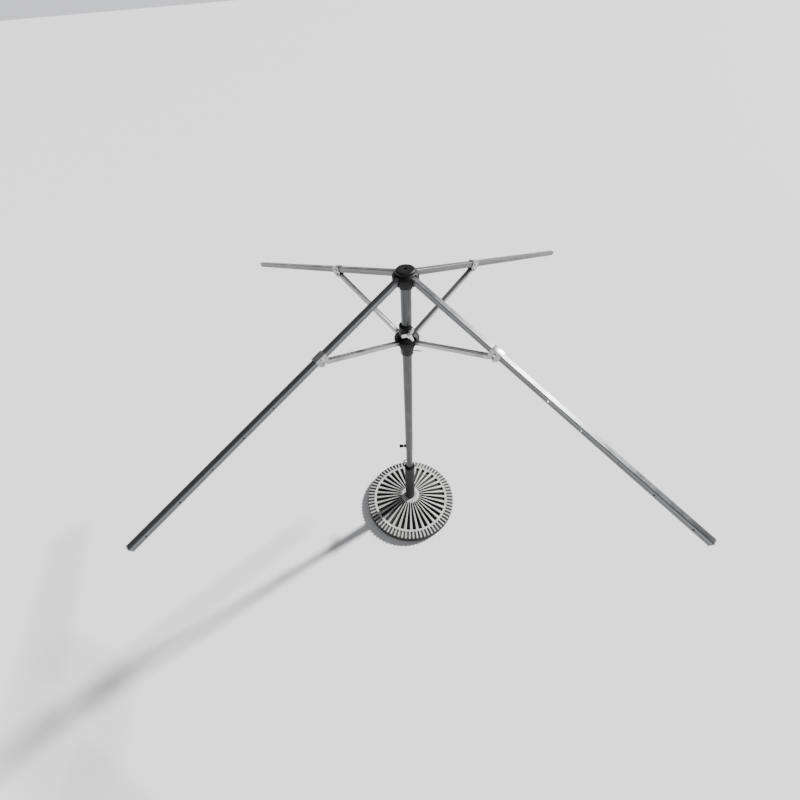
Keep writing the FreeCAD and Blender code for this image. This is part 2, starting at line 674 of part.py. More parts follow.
def cut_socket(hub):
    """The blind socket for the mast's end, and the recess and hole for the top screw."""
    socket = new_sketch(hub, "hub_socket", "XZ_Plane")
    radius = "Sizes.mast_radius + Sizes.seat_gap"
    bore = "Sizes.hub_screw_radius + Sizes.seat_gap"
    draw_outline(socket, [
        ("0", "0 - Sizes.hub_depth - Sizes.cut_margin"),
        (radius, "0 - Sizes.hub_depth - Sizes.cut_margin"),
        (radius, "Sizes.hub_seat + Sizes.seat_gap"),
        (bore, "Sizes.hub_seat + Sizes.seat_gap"),
        (bore, "Sizes.hub_rise - Sizes.hub_recess_depth"),
        ("Sizes.hub_recess_radius", "Sizes.hub_rise - Sizes.hub_recess_depth"),
        ("Sizes.hub_recess_radius", "Sizes.hub_rise + Sizes.cut_margin"),
        ("0", "Sizes.hub_rise + Sizes.cut_margin"),
    ])
    cut = groove(hub, socket, "360")
    cut.Midplane = False


def make_hub_screw():
    """The screw that holds the hub on the mast, sunk in the hub's top."""
    shank = "Sizes.hub_screw_radius - Sizes.seat_gap"
    seat = "Sizes.hub_rise - Sizes.hub_recess_depth + Sizes.seat_gap"
    tip = "Sizes.hub_seat - Sizes.plug_length"
    head = "Sizes.hub_recess_radius - Sizes.hub_screw_gap"
    screw = turned("hub_screw", [
        ("0", tip), (shank, tip), (shank, seat), (head, seat),
        (head, f"{seat} + Sizes.head_height"), ("0", f"{seat} + Sizes.head_height"),
    ])
    screw.Placement = upright(hub_height)
    return screw


def make_hub_pins():
    """The four arm pivots, one node."""
    pins = []
    for azimuth in AZIMUTHS:
        pin = doc.addObject("Part::Cylinder", f"hub_pin_{azimuth}")
        bind(pin, Radius="Sizes.pin_radius", Height="Sizes.pin_length")
        middle = Placement(Vector(0, size("Sizes.pin_length") / 2, 0), Rotation(Vector(1, 0, 0), 90))
        pin.Placement = tilted(azimuth, hub_height, 0) * middle
        pins.append(pin)
    group = doc.addObject("Part::Compound", "hub_pins")
    group.Links = pins
    return group


# ---- Sliding collar ----

def make_collar():
    """The moulded collar: forks for the struts, a clamp neck above and a sleeve below."""
    body = turned("collar_body", [
        ("0", "Sizes.collar_neck_rise"),
        (f"{NECK} - Sizes.collar_neck_edge", "Sizes.collar_neck_rise"),
        (NECK, "Sizes.collar_neck_rise - Sizes.collar_neck_edge"),
        (NECK, "Sizes.collar_rise + Sizes.collar_neck_foot"),
        (f"{COLLAR} - Sizes.collar_slope", "Sizes.collar_rise"),
        (COLLAR, "Sizes.collar_rise - Sizes.collar_slope"),
        (COLLAR, "Sizes.collar_fork_edge - Sizes.collar_fork_depth"),
        (f"{COLLAR} - 2 * Sizes.collar_fork_edge", "0 - Sizes.collar_fork_depth"),
        (SLEEVE, "0 - Sizes.collar_fork_depth - Sizes.collar_taper"),
        (f"{SLEEVE} - Sizes.collar_sleeve_draft", "0 - Sizes.collar_depth"),
        ("0", "0 - Sizes.collar_depth"),
    ])
    boss = new_sketch(body, "clamp_boss", "YZ_Plane", turn=size("Sizes.clamp_azimuth"))
    draw_circle(boss, "0", "Sizes.clamp_height", "Sizes.clamp_boss_radius")
    pad(body, boss, CLAMP_FACE)
    bore = new_sketch(body, "collar_bore", "XY_Plane")
    draw_circle(bore, "0", "0", "Sizes.mast_radius + Sizes.slide_gap")
    pocket(body, bore)
    cut_low_neck(body)
    cut_collar_forks(body)
    cut_collar_holes(body)
    body.Placement = upright(collar_height)
    return body


def cut_low_neck(body):
    """The half of the neck away from the clamp ends lower and leaves the mast in view."""
    away = size("Sizes.collar_neck_azimuth + 180")
    half = new_sketch(body, "low_neck", "YZ_Plane", turn=away)
    draw_outline(half, rectangle(f"0 - {NECK} - Sizes.cut_margin", f"{NECK} + Sizes.cut_margin",
                                 "Sizes.collar_neck_low_rise", "Sizes.collar_neck_rise + Sizes.cut_margin"))
    cut = body.newObject("PartDesign::Pocket", "low_neck_cut")
    cut.Profile = half
    cut.Reversed = True
    bind(cut, Length=f"{NECK} + Sizes.cut_margin")


def cut_collar_forks(body):
    """Strut slots open above, below and outward, with pin notches that open downward."""
    slot = new_sketch(body, "collar_slot", "XZ_Plane")
    draw_outline(slot, rectangle(
        "Sizes.mast_radius + Sizes.collar_core_wall", f"{COLLAR} + Sizes.cut_margin",
        "0 - Sizes.collar_depth - Sizes.cut_margin",
        "Sizes.collar_rise + Sizes.collar_neck_foot + Sizes.cut_margin"))
    slot_cut = pocket(body, slot, "Sizes.strut_width + 2 * Sizes.side_gap")
    reach = "(Sizes.strut_pin_radius + Sizes.running_gap)"
    notch = new_sketch(body, "pin_notch", "XZ_Plane")
    draw_outline(notch, rectangle(f"{PIVOT} - {reach}", f"{PIVOT} + {reach}", "0 - Sizes.collar_depth", "0"))
    notch_cut = pocket(body, notch, "Sizes.strut_pin_length + 2 * Sizes.side_gap")
    seat = new_sketch(body, "pin_seat", "XZ_Plane")
    draw_circle(seat, PIVOT, "0", reach)
    seat_cut = pocket(body, seat, "Sizes.strut_pin_length + 2 * Sizes.side_gap")
    repeat_round(body, "collar_forks", [slot_cut, notch_cut, seat_cut], str(len(AZIMUTHS)))


def cut_collar_holes(body):
    """The clamp screw's hole with its insert's counterbore, and the catch pin's hole."""
    clamp_azimuth = size("Sizes.clamp_azimuth")
    side_hole(body, "clamp_hole", clamp_azimuth, "Sizes.clamp_height",
              "Sizes.clamp_screw_radius + Sizes.running_gap", CLAMP_FACE)
    seat = new_sketch(body, "insert_seat", "YZ_Plane", turn=clamp_azimuth)
    turn = seat.AttachmentOffset.Rotation
    depth = Vector(0, 0, size(f"{CLAMP_FACE} - Sizes.insert_length"))
    seat.AttachmentOffset = Placement(turn.multVec(depth), turn)
    draw_circle(seat, "0", "Sizes.clamp_height", "Sizes.insert_radius + Sizes.seat_gap")
    cut = body.newObject("PartDesign::Pocket", "insert_seat_cut")
    cut.Profile = seat
    cut.Reversed = True
    bind(cut, Length="Sizes.insert_length + Sizes.cut_margin")
    side_hole(body, "catch_hole", size("Sizes.catch_azimuth"), "0 - Sizes.catch_drop",
              "Sizes.catch_radius + Sizes.running_gap", COLLAR)


def make_collar_insert():
    """The threaded metal insert in the clamp boss."""
    inner = "Sizes.clamp_screw_radius + Sizes.running_gap"
    body = turned("collar_insert", rectangle(
        inner, "Sizes.insert_radius", f"{CLAMP_FACE} - Sizes.insert_length", CLAMP_FACE))
    body.Placement = radial(size("Sizes.clamp_azimuth"), collar_height + size("Sizes.clamp_height"))
    return body


def make_star_knob():
    """The three-armed knob, flat faces square to its screw."""
    bore = "Sizes.clamp_screw_radius + Sizes.seat_gap"
    body = turned("star_knob", [
        ("0", "Sizes.knob_thickness"),
        ("Sizes.knob_hub_radius - Sizes.knob_edge", "Sizes.knob_thickness"),
        ("Sizes.knob_hub_radius", "Sizes.knob_thickness - Sizes.knob_edge"),
        ("Sizes.knob_hub_radius", "0"),
        ("0", "0"),
    ])
    arm = new_sketch(body, "knob_arm", "XY_Plane")
    draw_outline(arm, [
        ("0", "0 - Sizes.knob_arm_root / 2"),
        ("Sizes.knob_arm_reach", "0 - Sizes.knob_arm_tip / 2"),
        ("Sizes.knob_arm_reach", "Sizes.knob_arm_tip / 2"),
        ("0", "Sizes.knob_arm_root / 2"),
    ])
    arm_pad = pad(body, arm, "Sizes.knob_arm_thickness")
    repeat_round(body, "knob_arms", [arm_pad], "Sizes.knob_arm_count")
    reach = size("Sizes.knob_arm_reach - Sizes.knob_arm_round")

    def is_tip(edge):
        far = math.hypot(edge.CenterOfMass.x, edge.CenterOfMass.y) > reach
        return far and runs_along(edge, Vector(0, 0, 1))

    round_edges(body, "knob_tips", "Sizes.knob_arm_round", is_tip)
    blind = new_sketch(body, "knob_bore", "XY_Plane")
    draw_circle(blind, "0", "0", bore)
    cut = body.newObject("PartDesign::Pocket", "knob_bore_cut")
    cut.Profile = blind
    cut.Reversed = True
    bind(cut, Length="Sizes.knob_thickness / 2")
    face = size(f"{CLAMP_FACE} + Sizes.knob_standoff")
    height = collar_height + size("Sizes.clamp_height")
    rest_turn = Placement(Vector(), Rotation(Vector(0, 0, 1), size("Sizes.knob_rest_turn")))
    body.Placement = radial(size("Sizes.clamp_azimuth"), height, face) * rest_turn
    return body


def make_star_knob_screw():
    inner = "(Sizes.mast_radius + Sizes.tip_gap)"
    end = f"({CLAMP_FACE} + Sizes.knob_standoff + Sizes.knob_thickness / 2 - Sizes.seat_gap)"
    radius = "Sizes.clamp_screw_radius"
    body = turned("star_knob_screw", [("0", inner), (radius, inner), (radius, end), ("0", end)])
    body.Placement = radial(size("Sizes.clamp_azimuth"), collar_height + size("Sizes.clamp_height"))
    return body


def make_catch_pin():
    inner = "(Sizes.mast_radius + Sizes.tip_gap)"
    outer = "(Sizes.mast_radius + Sizes.catch_reach)"
    radius = "Sizes.catch_radius"
    body = turned("catch_pin", [
        ("0", inner),
        (radius, inner),
        (radius, f"{outer} - Sizes.catch_edge"),
        (f"{radius} - Sizes.catch_edge", outer),
        ("0", outer),
    ])
    body.Placement = radial(size("Sizes.catch_azimuth"), collar_height - size("Sizes.catch_drop"))
    return body


# ---- Arms, saddles and struts. Each is drawn along +X from its own pivot. ----

def square_corners(half):
    low = f"0 - ({half})"
    return rectangle(low, half, low, half)


def cut_side_groove(body, name, sign):
    """The shallow groove that runs along the middle of a tube's side face."""
    face = f"{sign}(Sizes.arm_width / 2 + Sizes.cut_margin)"
    floor = f"{sign}(Sizes.arm_width / 2 - Sizes.arm_groove_depth)"
    half = "Sizes.arm_groove_width / 2"
    section = new_sketch(body, name, "YZ_Plane")
    draw_outline(section, rectangle(floor, face, f"0 - {half}", half))
    pocket(body, section)


def make_arm_tube(number, place):
    name = f"arm_tube_{number}"
    body = new_body(name)
    outline = new_sketch(body, name + "_outline", "YZ_Plane")
    draw_outline(outline, square_corners("Sizes.arm_width / 2"))
    pad(body, outline, "Sizes.arm_length")
    inner_end = new_sketch(body, name + "_inner_end", "YZ_Plane")
    draw_outline(inner_end, square_corners("Sizes.arm_width / 2"))
    pad(body, inner_end, "Sizes.arm_inner_end", backwards=True)
    round_edges(body, name + "_corners", "Sizes.arm_corner", lambda edge: runs_along(edge, Vector(1, 0, 0)))
    hollow = new_sketch(body, name + "_hollow", "YZ_Plane")
    draw_outline(hollow, square_corners("Sizes.arm_width / 2 - Sizes.arm_wall"))
    pocket(body, hollow)
    for side, sign in (("left", ""), ("right", "0 - ")):
        cut_side_groove(body, f"{name}_{side}_groove", sign)
    holes = new_sketch(body, name + "_holes", "XZ_Plane")
    draw_circle(holes, "0", "0", "Sizes.pin_radius + Sizes.running_gap")
    draw_circle(holes, "Sizes.crank_along", "0", "Sizes.rivet_radius + Sizes.seat_gap")
    pocket(body, holes)
    line_hole = new_sketch(body, name + "_line_hole", "XZ_Plane")
    draw_circle(line_hole, "Sizes.arm_length - Sizes.line_hole_inset", "0", "Sizes.line_hole_radius")
    first = pocket(body, line_hole)
    row_of_holes = body.newObject("PartDesign::LinearPattern", name + "_line_holes")
    row_of_holes.Originals = [first]
    row_of_holes.Direction = (origin_item(body, "X_Axis"), [""])
    row_of_holes.Reversed = True
    bind(row_of_holes, Length="Sizes.line_hole_spacing * (Sizes.line_hole_count - 1)",
         Occurrences="Sizes.line_hole_count")
    body.Tip = row_of_holes
    body.Placement = place
    return body


def make_arm_cap(number, place):
    """The cap on an arm's tip: a plate, and a plug inside the tube."""
    name = f"arm_cap_{number}"
    plate = doc.addObject("Part::Box", name + "_plate")
    bind(plate, Length="Sizes.cap_plate", Width="Sizes.arm_width", Height="Sizes.arm_width")
    half = size("Sizes.arm_width / 2")
    plate.Placement = Placement(Vector(size("Sizes.arm_length"), -half, -half), Rotation())
    plug = doc.addObject("Part::Box", name + "_plug")
    inside = "Sizes.arm_width - 2 * Sizes.arm_wall - 2 * Sizes.seat_gap"
    bind(plug, Length="Sizes.cap_plug", Width=inside, Height=inside)
    half = size(inside) / 2
    start = size("Sizes.arm_length - Sizes.cap_plug")
    plug.Placement = Placement(Vector(start, -half, -half), Rotation())
    cap = doc.addObject("Part::Fuse", name)
    cap.Base = plate
    cap.Tool = plug
    cap.Placement = place
    return cap


def make_saddle(number, place):
    """The sheet saddle over an arm; its two cheeks hold the strut's bolt below the arm."""
    name = f"arm_saddle_{number}"
    body = new_body(name)
    half_arm = "Sizes.arm_width / 2"
    skirt = f"0 - ({half_arm} + Sizes.saddle_skirt)"
    low = "0 - (Sizes.crank_drop + Sizes.saddle_lug)"
    top = f"{half_arm} + Sizes.seat_gap + Sizes.saddle_wall"
    near = "Sizes.crank_along - Sizes.saddle_length / 2"
    far = "Sizes.crank_along + Sizes.saddle_length / 2"
    side = new_sketch(body, name + "_side", "XZ_Plane")
    draw_outline(side, [
        (near, top), (near, skirt),
        ("Sizes.crank_along - Sizes.saddle_lug", low),
        ("Sizes.crank_along + Sizes.saddle_lug", low),
        (far, skirt), (far, top),
    ])
    pad(body, side, "Sizes.arm_width + 2 * (Sizes.seat_gap + Sizes.saddle_wall)", both_ways=True)
    bottom = size(low)
    round_edges(body, name + "_lugs", "Sizes.saddle_lug / 2",
                lambda edge: runs_along(edge, Vector(0, 1, 0)) and edge.CenterOfMass.z < bottom + TOLERANCE)
    channel = new_sketch(body, name + "_channel", "YZ_Plane")
    inner = f"{half_arm} + Sizes.seat_gap"
    draw_outline(channel, rectangle(f"0 - ({inner})", inner, f"{low} - Sizes.cut_margin", inner))
    pocket(body, channel)
    holes = new_sketch(body, name + "_holes", "XZ_Plane")
    draw_circle(holes, "Sizes.crank_along", "0", "Sizes.rivet_radius + Sizes.seat_gap")
    draw_circle(holes, "Sizes.crank_along", "0 - Sizes.crank_drop", "Sizes.pin_radius + Sizes.seat_gap")
    pocket(body, holes)
    body.Placement = place
    return body


def make_cross_pin(name, radius, drop, place):
    """A pin across a saddle with a head at each end, below the arm's centreline by the drop."""
    half = "(Sizes.arm_width / 2 + Sizes.seat_gap + Sizes.saddle_wall + Sizes.seat_gap)"
    end = f"{half} + Sizes.head_height"
    body = turned(name, [
        ("0", f"0 - {half} - Sizes.head_height"),
        ("Sizes.head_radius / 2", f"0 - {half} - Sizes.head_height"),
        ("Sizes.head_radius", f"0 - {half} - Sizes.head_height / 2"),
        ("Sizes.head_radius", f"0 - {half}"),
        (radius, f"0 - {half}"),
        (radius, half),
        ("Sizes.head_radius", half),
        ("Sizes.head_radius", f"{half} + Sizes.head_height / 2"),
        ("Sizes.head_radius / 2", end),
        ("0", end),
    ])
    across = Rotation(Vector(1, 0, 0), 90)
    body.Placement = place * Placement(Vector(size("Sizes.crank_along"), 0, -size(drop)), across)
    return body


def make_strut(number, place):
    """A channel strut, open underneath, with rounded ends."""
    name = f"strut_{number}"
    half = "Sizes.strut_height / 2"
    body = new_body(name)
    side = new_sketch(body, name + "_side", "XZ_Plane")
    draw_outline(side, rectangle(f"0 - {half}", f"{CRANK} + {half}", f"0 - {half}", half))
    pad(body, side, "Sizes.strut_width", both_ways=True)
    round_edges(body, name + "_ends", "Sizes.strut_round", lambda edge: runs_along(edge, Vector(0, 1, 0)))
    channel = new_sketch(body, name + "_channel", "YZ_Plane")
    inside = "Sizes.strut_width / 2 - Sizes.strut_wall"
    draw_outline(channel, rectangle(f"0 - ({inside})", inside, f"0 - {half} - Sizes.cut_margin",
                                    f"{half} - Sizes.strut_wall"))
    pocket(body, channel)
    bead = new_sketch(body, name + "_bead", "YZ_Plane")
    bead_half = "Sizes.strut_bead_width / 2"
    draw_outline(bead, rectangle(f"0 - {bead_half}", bead_half, f"{half} - Sizes.strut_bead_depth",
                                 f"{half} + Sizes.cut_margin"))
    pocket(body, bead)
    holes = new_sketch(body, name + "_holes", "XZ_Plane")
    draw_circle(holes, "0", "0", "Sizes.strut_pin_radius + Sizes.seat_gap")
    draw_circle(holes, CRANK, "0", "Sizes.pin_radius + Sizes.running_gap")
    pocket(body, holes)
    body.Placement = place
    return body


def make_strut_pin(number, place):
    name = f"strut_pin_{number}"
    half = "Sizes.strut_pin_length / 2"
    radius = "Sizes.strut_pin_radius"
    body = turned(name, [("0", f"0 - {half}"), (radius, f"0 - {half}"), (radius, half), ("0", half)])
    body.Placement = place * Placement(Vector(), Rotation(Vector(1, 0, 0), 90))
    return body


def make_spoke(number, azimuth):
    """One arm with its cap, saddle, rivet and bolt, and the strut below it."""
    arm_place = tilted(azimuth, hub_height, size("Sizes.arm_droop"))
    strut_place = tilted(azimuth, collar_height, -crank_droop)
    return [
        make_arm_tube(number, arm_place),
        make_arm_cap(number, arm_place),
        make_saddle(number, arm_place),
        make_cross_pin(f"saddle_rivet_{number}", "Sizes.rivet_radius", "0", arm_place),
        make_cross_pin(f"strut_bolt_{number}", "Sizes.pin_radius", "Sizes.crank_drop", arm_place),
        make_strut(number, strut_place),
        make_strut_pin(number, strut_place),
    ]


# ---- Assembly ----

parts = [
    make_base_shell(),
    make_base_ballast(),
    make_base_feet(),
    make_socket_tube(),
    make_socket_top_bush(),
    make_socket_bottom_bush(),
    make_boss("socket_boss", eye_azimuth, "Sizes.socket_radius", "Sizes.eye_boss_radius", EYE_BOSS_FACE,
              "Sizes.eye_screw_radius", "Sizes.socket_top - Sizes.eye_drop"),
    make_eye_screw(),
    *make_lower_mast(),
    make_upper_mast_tube(),
    make_boss("mast_clamp_boss", mast_clamp_azimuth, "Sizes.mast_radius", "Sizes.mast_boss_radius",
              MAST_BOSS_FACE, "Sizes.mast_screw_radius", "Sizes.mast_bottom + Sizes.mast_clamp_rise"),
    make_mast_top_plug(),
    *make_mast_clamp(),
    make_top_hub(),
    make_hub_screw(),
    make_hub_pins(),
    make_collar(),
    make_collar_insert(),
    make_star_knob(),
    make_star_knob_screw(),
    make_catch_pin(),
]
for spoke_number, spoke_azimuth in enumerate(AZIMUTHS, start=1):
    parts += make_spoke(spoke_number, spoke_azimuth)

doc.recompute()
failed = [item.Name for item in doc.Objects if "Invalid" in item.State or "Error" in item.State]
if failed:
    raise RuntimeError(f"objects that failed to build: {failed}")
for part in parts:
    if part.Shape.isNull() or not part.Shape.isValid():
        raise RuntimeError(f"{part.Label} has no valid shape")

os.makedirs("parts", exist_ok=True)
for part in parts:
    part.Shape.exportStep(f"parts/{part.Label}.step")
    print(part.Label, len(part.Shape.Solids), round(part.Shape.Volume))
print("collar height", round(collar_height, 3), "crank droop", round(crank_droop, 3))
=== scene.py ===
# %% [markdown]
# # A rotary clothesline
# The CAD model gives every tube, pivot and bolt its size and its place. This lesson gives them their looks.
# First the model is loaded as a fixed frame. Every new piece is then built around it, in metres, with
# the mast on the Z axis and the four arms along +X, +Y, -X and -Y.

import json
import math

import bmesh
import bpy
from mathutils import Matrix, Vector


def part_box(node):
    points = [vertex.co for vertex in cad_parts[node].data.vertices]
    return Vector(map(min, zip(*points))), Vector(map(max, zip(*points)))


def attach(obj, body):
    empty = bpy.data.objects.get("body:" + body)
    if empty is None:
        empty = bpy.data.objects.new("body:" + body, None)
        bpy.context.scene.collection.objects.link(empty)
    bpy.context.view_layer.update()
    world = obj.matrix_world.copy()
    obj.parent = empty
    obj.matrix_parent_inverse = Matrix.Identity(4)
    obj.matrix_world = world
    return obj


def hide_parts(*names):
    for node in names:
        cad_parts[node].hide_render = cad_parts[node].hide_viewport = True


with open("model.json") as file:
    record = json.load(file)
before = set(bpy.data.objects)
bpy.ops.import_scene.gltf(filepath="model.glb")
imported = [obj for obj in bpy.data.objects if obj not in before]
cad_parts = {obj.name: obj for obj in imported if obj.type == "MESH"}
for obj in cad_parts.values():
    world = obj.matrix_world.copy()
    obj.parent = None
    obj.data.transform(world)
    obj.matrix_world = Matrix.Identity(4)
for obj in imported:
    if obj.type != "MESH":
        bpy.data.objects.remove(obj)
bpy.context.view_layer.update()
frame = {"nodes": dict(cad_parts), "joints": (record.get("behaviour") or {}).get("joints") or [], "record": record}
MM = 0.001
ARMS = [1, 2, 3, 4]
BODY_OF = {node: body for body, nodes in frame["record"]["behaviour"]["bodies"].items() for node in nodes}
JOINTS = {joint["name"]: joint for joint in frame["joints"]}

# %% [markdown]
# ## Where things are
# A joint's position is the pivot that a piece turns on, so it is the best place to measure from.
# An arm points away from the mast and droops. Its heading is worked out from its pivot in the hub, and its droop
# from that pivot and the plug at its tip. The strut's bolt below the tube gives the strut's slope.

# %% Read the pivots
def azimuth_of(number):
    """The direction that an arm points in, in radians round the mast."""
    pivot = Vector(JOINTS[f"arm_{number}_fold"]["pos_m"])
    return math.atan2(pivot.y, pivot.x)


def joint_point(name):
    return Vector(JOINTS[name]["pos_m"])


collar_low, collar_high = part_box("collar_body")
arm_pivot = joint_point("arm_1_fold")
tip_low, tip_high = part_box("arm_cap_1")
tip_middle = (tip_low + tip_high) / 2
arm_droop = math.atan2(arm_pivot.z - tip_middle.z, tip_middle.x - arm_pivot.x)
strut_bolt = joint_point("strut_1_fold")
print("arms droop by", round(math.degrees(arm_droop), 1), "degrees")

# %% [markdown]
# ## Camera
# The eye is high on one side, between two of the arms, and looks steeply down. A wide lens makes the near arms
# run out long and the far ones look short. The horizon is tipped a little.

# %% Camera
EYE = Vector((-0.7254, -0.7207, 2.0253))
PITCH = math.radians(39.68)
HEADING = math.radians(-41.55)
ROLL = math.radians(-4.03)

camera_data = bpy.data.cameras.new("view")
camera_data.lens = 16.445
camera_data.sensor_width = 36
camera_data.shift_x = 0.0078
camera_data.shift_y = 0.0217
camera = bpy.data.objects.new("view", camera_data)
bpy.context.scene.collection.objects.link(camera)
turn = Matrix.Rotation(HEADING, 4, "Z") @ Matrix.Rotation(PITCH, 4, "X") @ Matrix.Rotation(ROLL, 4, "Z")
camera.matrix_world = Matrix.Translation(EYE) @ turn
bpy.context.scene.camera = camera
print("lens", camera_data.lens, "mm")

# %% [markdown]
# ## Floor and light
# The floor is a plain pale sheet. One far lamp with slightly soft edges lights it evenly from the right, like a
# low sun, and throws the mast's shadow over the stand. A pale sky keeps the shaded sides of the tubes readable.

# %% Floor
def shader_of(material):
    return material.node_tree.nodes["Principled BSDF"]


def new_material(name, roughness, metallic=0.0, specular=0.5):
    """A material whose constants sit on the shader's own sockets."""
    material = bpy.data.materials.new(name)
    material.use_nodes = True
    shader = shader_of(material)
    shader.inputs["Roughness"].default_value = roughness
    shader.inputs["Metallic"].default_value = metallic
    shader.inputs["Specular IOR Level"].default_value = specular
    return material


floor_mesh = bmesh.new()
bmesh.ops.create_grid(floor_mesh, x_segments=1, y_segments=1, size=120)
floor_data = bpy.data.meshes.new("floor")
floor_mesh.to_mesh(floor_data)
floor_mesh.free()
floor = bpy.data.objects.new("floor", floor_data)
bpy.context.scene.collection.objects.link(floor)
floor_paint = new_material("floor_paint", 0.9)
shader_of(floor_paint).inputs["Base Color"].default_value = (0.92, 0.92, 0.92, 1)
floor_data.materials.append(floor_paint)

# %% Lamps and sky
def add_sun(name, azimuth, elevation, softness, strength):
    """A far lamp whose light falls evenly over the whole floor."""
    direction = Vector((math.cos(elevation) * math.cos(azimuth), math.cos(elevation) * math.sin(azimuth),
                        math.sin(elevation)))
    lamp_data = bpy.data.lights.new(name, "SUN")
    lamp_data.angle = softness
    lamp_data.energy = strength
    lamp = bpy.data.objects.new(name, lamp_data)
    lamp.rotation_mode = "QUATERNION"
    lamp.rotation_quaternion = direction.to_track_quat("Z", "Y")
    bpy.context.scene.collection.objects.link(lamp)
    return lamp


SUN_AZIMUTH, SUN_HEIGHT, SUN_SOFTNESS, SUN_STRENGTH = 348, 36, 4, 9.0
add_sun("low_sun", math.radians(SUN_AZIMUTH), math.radians(SUN_HEIGHT), math.radians(SUN_SOFTNESS), SUN_STRENGTH)
world = bpy.data.worlds.new("sky")
world.use_nodes = True
world.node_tree.nodes["Background"].inputs["Color"].default_value = (0.95, 0.96, 1.0, 1)
sky_nodes = world.node_tree
where = sky_nodes.nodes.new("ShaderNodeTexCoord")
parts = sky_nodes.nodes.new("ShaderNodeSeparateXYZ")
haze = sky_nodes.nodes.new("ShaderNodeMapRange")
HAZE_TOP, HAZE_GLOW, SKY_GLOW = 0.1, 1.0, 0.30
haze.inputs["From Max"].default_value = HAZE_TOP
haze.inputs["To Min"].default_value = HAZE_GLOW
haze.inputs["To Max"].default_value = SKY_GLOW
sky_nodes.links.new(where.outputs["Generated"], parts.inputs["Vector"])
sky_nodes.links.new(parts.outputs["Z"], haze.inputs["Value"])
sky_nodes.links.new(haze.outputs["Result"], sky_nodes.nodes["Background"].inputs["Strength"])
bpy.context.scene.world = world
print("a sun and a sky")

# %% [markdown]
# ## Building materials from nodes
# A finish is a few layers: a colour that drifts, a roughness that drifts with it, and small bumps. Three short
# helpers add a node, a noise pattern and a colour ramp, so each finish below reads like a recipe.
# All patterns follow the object's own coordinates, in metres, so they stay on the piece when it moves.

# %% Node helpers
def add_node(material, kind, values=None, **settings):
    """Add a node, set its settings and its plain input values."""
    node = material.node_tree.nodes.new(kind)
    for name, value in settings.items():
        setattr(node, name, value)
    for name, value in (values or {}).items():
        node.inputs[name].default_value = value
    return node


def join(material, source, target):
    material.node_tree.links.new(source, target)


def object_place(material, turned=(0, 0, 0), stretch=(1, 1, 1)):
    """Object coordinates, turned and then stretched."""
    place = add_node(material, "ShaderNodeTexCoord")
    mapping = add_node(material, "ShaderNodeMapping", {"Rotation": turned})
    scaling = add_node(material, "ShaderNodeMapping", {"Scale": stretch})
    join(material, place.outputs["Object"], mapping.inputs["Vector"])
    join(material, mapping.outputs["Vector"], scaling.inputs["Vector"])
    return scaling.outputs["Vector"]


def noise(material, place, scale, detail=4.0, roughness=0.55):
    node = add_node(material, "ShaderNodeTexNoise", {"Scale": scale, "Detail": detail, "Roughness": roughness})
    join(material, place, node.inputs["Vector"])
    return node.outputs["Fac"]


def ramp(material, factor, low, high, start=0.3, end=0.7):
    """Turn a pattern into a run from one colour to another."""
    node = add_node(material, "ShaderNodeValToRGB")
    node.color_ramp.elements[0].position = start
    node.color_ramp.elements[0].color = (*low, 1)
    node.color_ramp.elements[1].position = end
    node.color_ramp.elements[1].color = (*high, 1)
    join(material, factor, node.inputs["Fac"])
    return node.outputs["Color"]


def spread(material, factor, low, high, start=0.3, end=0.7):
    """Turn a pattern into a number between two limits."""
    node = add_node(material, "ShaderNodeMapRange", {
        "From Min": start, "From Max": end, "To Min": low, "To Max": high})
    join(material, factor, node.inputs["Value"])
    return node.outputs["Result"]


def mix_colour(material, factor, first, second, blend="MIX"):
    node = add_node(material, "ShaderNodeMix", data_type="RGBA", blend_type=blend)
    if isinstance(factor, float):
        node.inputs["Factor"].default_value = factor
    else:
        join(material, factor, node.inputs["Factor"])
    join(material, first, node.inputs["A"])
    join(material, second, node.inputs["B"])
    return node.outputs["Result"]


def bump(material, height, depth, strength=1.0, below=None):
    """Small relief, as deep as given in metres, over any relief already there."""
    node = add_node(material, "ShaderNodeBump", {"Strength": strength, "Distance": depth})
    join(material, height, node.inputs["Height"])
    if below is not None:
        join(material, below, node.inputs["Normal"])
    return node.outputs["Normal"]


def dress(material, colour, roughness, normal):
    """Connect a finish to the shader."""
    shader = shader_of(material)
    join(material, colour, shader.inputs["Base Color"])
    join(material, roughness, shader.inputs["Roughness"])
    join(material, normal, shader.inputs["Normal"])
    return material


# %% [markdown]
# ## Moulded plastic
# Moulded plastic is nearly one colour, but never quite: the surface carries a fine spark-eroded grain, it
# yellows or bleaches in patches outdoors, and handling polishes it. A coarse noise drifts the colour, a
# middling one drives the gloss, and a very fine one gives the grain.

# %% Plastics
def moulded_plastic(name, dark, light, gloss, grain_depth, grain_size=0.0009, specular=0.5):
    material = new_material(name, 0.5, specular=specular)
    place = object_place(material)
    drift = noise(material, place, 28.0, 5.0)
    scuffs = noise(material, object_place(material, stretch=(1, 1, 0.25)), 420.0, 3.0, 0.7)
    colour = mix_colour(material, 0.25, ramp(material, drift, dark, light),
                        ramp(material, scuffs, dark, light, 0.35, 0.75))
    rough = spread(material, drift, gloss - 0.08, gloss + 0.1)
    grain = noise(material, place, 1 / grain_size, 2.0)
    relief = bump(material, grain, grain_depth, 0.6)
    relief = bump(material, scuffs, 0.00004, 0.35, relief)
    return dress(material, colour, rough, relief)


black_plastic = moulded_plastic("black_moulding", (0.003, 0.003, 0.0034), (0.009, 0.009, 0.0095), 0.5, 0.00007,
                                specular=0.2)
white_plastic = moulded_plastic("white_moulding", (0.70, 0.70, 0.68), (0.84, 0.84, 0.82), 0.36, 0.00004)
grey_plastic = moulded_plastic("grey_moulding", (0.20, 0.205, 0.21), (0.31, 0.315, 0.32), 0.45, 0.00006)
rubber = moulded_plastic("foot_rubber", (0.012, 0.012, 0.012), (0.030, 0.029, 0.028), 0.80, 0.00014, 0.0016)
print("4 mouldings")

